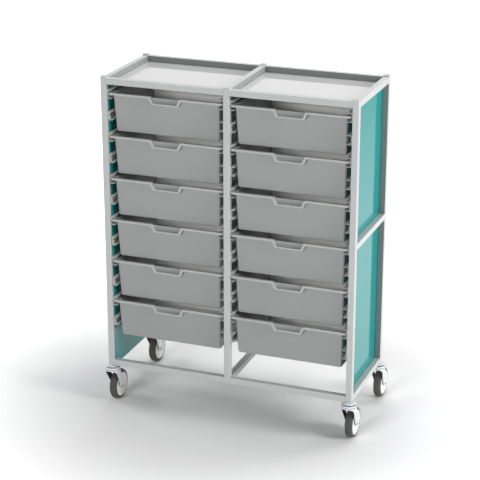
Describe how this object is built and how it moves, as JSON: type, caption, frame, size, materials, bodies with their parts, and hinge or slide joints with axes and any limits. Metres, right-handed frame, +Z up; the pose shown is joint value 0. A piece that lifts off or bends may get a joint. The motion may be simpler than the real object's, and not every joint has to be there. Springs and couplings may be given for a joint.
{
  "type": "classroom tray storage unit",
  "caption": "Mobile two-column storage frame of square tube on swivel castors, with pull-out deep trays on runners, recessed top shelves and coloured side panels.",
  "frame": {"origin": "on the floor, at the middle of the footprint", "axes": "+Z up, +X to the unit's right seen from its front, +Y to the back; the trays are drawn out towards -Y"},
  "size_m": [1.088, 0.5515, 1.401],
  "materials": {
    "frame_paint": "satin silver-grey powder coat",
    "side_panel": "high gloss teal",
    "top_shelf": "glossy light grey",
    "runner_paint": "satin silver-grey powder coat",
    "tray_plastic": "fine moulded texture, mid grey",
    "cap_plastic": "light grey moulding",
    "rivet_metal": "plain",
    "castor_zinc": "bright zinc plate",
    "wheel_white": "off-white moulding",
    "tyre_rubber": "dark grey, fine matt"
  },
  "bodies": {
    "root": {"castor_heads": "castor_zinc", "post_back_centre": "frame_paint", "post_back_left": "frame_paint", "post_back_right": "frame_paint", "post_caps": "cap_plastic", "post_foot_inserts": "cap_plastic", "post_front_centre": "frame_paint", "post_front_left": "frame_paint", "post_front_right": "frame_paint", "rail_bottom_back_left": "frame_paint", "rail_bottom_back_right": "frame_paint", "rail_bottom_cross_centre": "frame_paint", "rail_bottom_front_left": "frame_paint", "rail_bottom_front_right": "frame_paint", "rail_bottom_side_left": "frame_paint", "rail_bottom_side_right": "frame_paint", "rail_middle_side_left": "frame_paint", "rail_middle_side_right": "frame_paint", "rail_top_back_left": "frame_paint", "rail_top_back_right": "frame_paint", "rail_top_cross_centre": "frame_paint", "rail_top_front_left": "frame_paint", "rail_top_front_right": "frame_paint", "rail_top_side_left": "frame_paint", "rail_top_side_right": "frame_paint", "runner_rivets": "rivet_metal", "runners_left_inner": "runner_paint", "runners_left_outer": "runner_paint", "runners_right_inner": "runner_paint", "runners_right_outer": "runner_paint", "shelf_rivets": "rivet_metal", "side_panel_left": "side_panel", "side_panel_right": "side_panel", "top_shelf_left": "top_shelf", "top_shelf_right": "top_shelf"},
    "left_tray_1": {"tray_left_1": "tray_plastic"},
    "left_tray_2": {"tray_left_2": "tray_plastic"},
    "left_tray_3": {"tray_left_3": "tray_plastic"},
    "left_tray_4": {"tray_left_4": "tray_plastic"},
    "left_tray_5": {"tray_left_5": "tray_plastic"},
    "left_tray_6": {"tray_left_6": "tray_plastic"},
    "right_tray_1": {"tray_right_1": "tray_plastic"},
    "right_tray_2": {"tray_right_2": "tray_plastic"},
    "right_tray_3": {"tray_right_3": "tray_plastic"},
    "right_tray_4": {"tray_right_4": "tray_plastic"},
    "right_tray_5": {"tray_right_5": "tray_plastic"},
    "right_tray_6": {"tray_right_6": "tray_plastic"},
    "front_left_swivel": {"castor_fork_front_left": "castor_zinc"},
    "front_left_wheel": {"castor_wheel_front_left": "wheel_white", "castor_tyre_front_left": "tyre_rubber"},
    "front_right_swivel": {"castor_fork_front_right": "castor_zinc"},
    "front_right_wheel": {"castor_wheel_front_right": "wheel_white", "castor_tyre_front_right": "tyre_rubber"},
    "back_left_swivel": {"castor_fork_back_left": "castor_zinc"},
    "back_left_wheel": {"castor_wheel_back_left": "wheel_white", "castor_tyre_back_left": "tyre_rubber"},
    "back_right_swivel": {"castor_fork_back_right": "castor_zinc"},
    "back_right_wheel": {"castor_wheel_back_right": "wheel_white", "castor_tyre_back_right": "tyre_rubber"}
  },
  "joints": [
    {"name": "left_tray_1_slide", "type": "slide", "parent": "root", "child": "left_tray_1", "axis": [0, -1, 0], "range_m": [0, 0.4]},
    {"name": "left_tray_2_slide", "type": "slide", "parent": "root", "child": "left_tray_2", "axis": [0, -1, 0], "range_m": [0, 0.4]},
    {"name": "left_tray_3_slide", "type": "slide", "parent": "root", "child": "left_tray_3", "axis": [0, -1, 0], "range_m": [0, 0.4]},
    {"name": "left_tray_4_slide", "type": "slide", "parent": "root", "child": "left_tray_4", "axis": [0, -1, 0], "range_m": [0, 0.4]},
    {"name": "left_tray_5_slide", "type": "slide", "parent": "root", "child": "left_tray_5", "axis": [0, -1, 0], "range_m": [0, 0.4]},
    {"name": "left_tray_6_slide", "type": "slide", "parent": "root", "child": "left_tray_6", "axis": [0, -1, 0], "range_m": [0, 0.4]},
    {"name": "right_tray_1_slide", "type": "slide", "parent": "root", "child": "right_tray_1", "axis": [0, -1, 0], "range_m": [0, 0.4]},
    {"name": "right_tray_2_slide", "type": "slide", "parent": "root", "child": "right_tray_2", "axis": [0, -1, 0], "range_m": [0, 0.4]},
    {"name": "right_tray_3_slide", "type": "slide", "parent": "root", "child": "right_tray_3", "axis": [0, -1, 0], "range_m": [0, 0.4]},
    {"name": "right_tray_4_slide", "type": "slide", "parent": "root", "child": "right_tray_4", "axis": [0, -1, 0], "range_m": [0, 0.4]},
    {"name": "right_tray_5_slide", "type": "slide", "parent": "root", "child": "right_tray_5", "axis": [0, -1, 0], "range_m": [0, 0.4]},
    {"name": "right_tray_6_slide", "type": "slide", "parent": "root", "child": "right_tray_6", "axis": [0, -1, 0], "range_m": [0, 0.4]},
    {"name": "front_left_swivel_turn", "type": "hinge", "parent": "root", "child": "front_left_swivel", "pos_m": [-0.5125, -0.24425, 0.159], "axis": [0, 0, 1], "continuous": true},
    {"name": "front_left_wheel_roll", "type": "hinge", "parent": "front_left_swivel", "child": "front_left_wheel", "pos_m": [-0.5125, -0.19325, 0.064], "axis": [1, 0, 0], "continuous": true},
    {"name": "front_right_swivel_turn", "type": "hinge", "parent": "root", "child": "front_right_swivel", "pos_m": [0.5125, -0.24425, 0.159], "axis": [0, 0, 1], "continuous": true},
    {"name": "front_right_wheel_roll", "type": "hinge", "parent": "front_right_swivel", "child": "front_right_wheel", "pos_m": [0.5125, -0.19325, 0.064], "axis": [1, 0, 0], "continuous": true},
    {"name": "back_left_swivel_turn", "type": "hinge", "parent": "root", "child": "back_left_swivel", "pos_m": [-0.5125, 0.16075, 0.159], "axis": [0, 0, 1], "continuous": true},
    {"name": "back_left_wheel_roll", "type": "hinge", "parent": "back_left_swivel", "child": "back_left_wheel", "pos_m": [-0.5125, 0.21175, 0.064], "axis": [1, 0, 0], "continuous": true},
    {"name": "back_right_swivel_turn", "type": "hinge", "parent": "root", "child": "back_right_swivel", "pos_m": [0.5125, 0.16075, 0.159], "axis": [0, 0, 1], "continuous": true},
    {"name": "back_right_wheel_roll", "type": "hinge", "parent": "back_right_swivel", "child": "back_right_wheel", "pos_m": [0.5125, 0.21175, 0.064], "axis": [1, 0, 0], "continuous": true}
  ]
}
